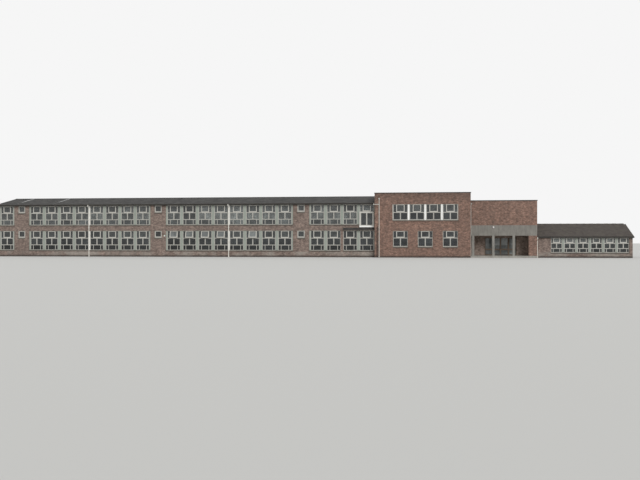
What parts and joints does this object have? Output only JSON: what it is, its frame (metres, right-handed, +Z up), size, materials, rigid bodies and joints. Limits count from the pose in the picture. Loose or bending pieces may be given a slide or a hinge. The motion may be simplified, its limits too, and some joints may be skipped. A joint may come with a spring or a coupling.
{
  "type": "school building, 1:2 scale model",
  "caption": "Two-storey post-war school: long classroom wing with window bands, stair tower, link over an entrance porch and a single-storey range.",
  "frame": {"origin": "middle of the underside, at ground level", "axes": "+X to the right along the long front, +Y into the building from the front, +Z up"},
  "size_m": [39.742, 5.8282, 3.92],
  "materials": {
    "wing_brick": "matt facing brick in lime mortar",
    "tower_brick": "matt dark facing brick",
    "concrete": "plain cast concrete, matt",
    "roof_covering": "boarded deck under dark mineral felt, matt",
    "painted_timber": "pale weathered paint, satin",
    "white_panel": "white painted board, satin",
    "dark_timber": "dark painted boards, satin",
    "sill_stone": "reconstructed stone, matt",
    "cast_iron": "dark painted iron gutters",
    "pale_iron": "pale painted iron pipes",
    "lead": "dull grey sheet lead",
    "lamp_glass": "white opal, gloss",
    "window_glass": "clear sheet glass"
  },
  "bodies": {
    "root": {"ground_floor_slabs": "concrete", "first_floor_slabs": "concrete", "flat_roof_decks": "roof_covering", "wing_front_wall_ground": "wing_brick", "wing_front_wall_first": "wing_brick", "wing_rear_wall_ground": "wing_brick", "wing_rear_wall_first": "wing_brick", "wing_end_wall": "wing_brick", "wing_roof": "roof_covering", "range_roof": "roof_covering", "roof_joint_strips": "lead", "roof_wall_plates": "dark_timber", "ridge_caps": "roof_covering", "eaves_boards": "dark_timber", "rain_gutters": "cast_iron", "downpipes": "pale_iron", "waste_pipe": "cast_iron", "wing_front_frames": "painted_timber", "wing_rear_frames": "painted_timber", "wing_front_glass": "window_glass", "wing_rear_glass": "window_glass", "wing_front_panels": "painted_timber", "wing_rear_panels": "painted_timber", "wing_sills": "sill_stone", "tower_and_range_sills": "sill_stone", "white_panels": "white_panel", "landing_window_box": "white_panel", "landing_window_glass": "window_glass", "window_hood": "dark_timber", "tower_front_wall": "tower_brick", "tower_rear_wall": "tower_brick", "tower_side_walls": "tower_brick", "tower_window_frames": "painted_timber", "tower_glass": "window_glass", "parapet_copings": "concrete", "link_front_wall": "tower_brick", "link_rear_wall": "tower_brick", "link_side_wall": "tower_brick", "porch_beam": "concrete", "porch_columns": "concrete", "porch_pier": "tower_brick", "porch_back_wall": "tower_brick", "entrance_screen": "painted_timber", "entrance_glass": "window_glass", "range_front_wall": "wing_brick", "range_rear_wall": "wing_brick", "range_end_wall": "wing_brick", "range_window_frames": "painted_timber", "range_window_panels": "painted_timber", "range_glass": "window_glass", "wall_lamps": "lamp_glass"}
  },
  "joints": []
}
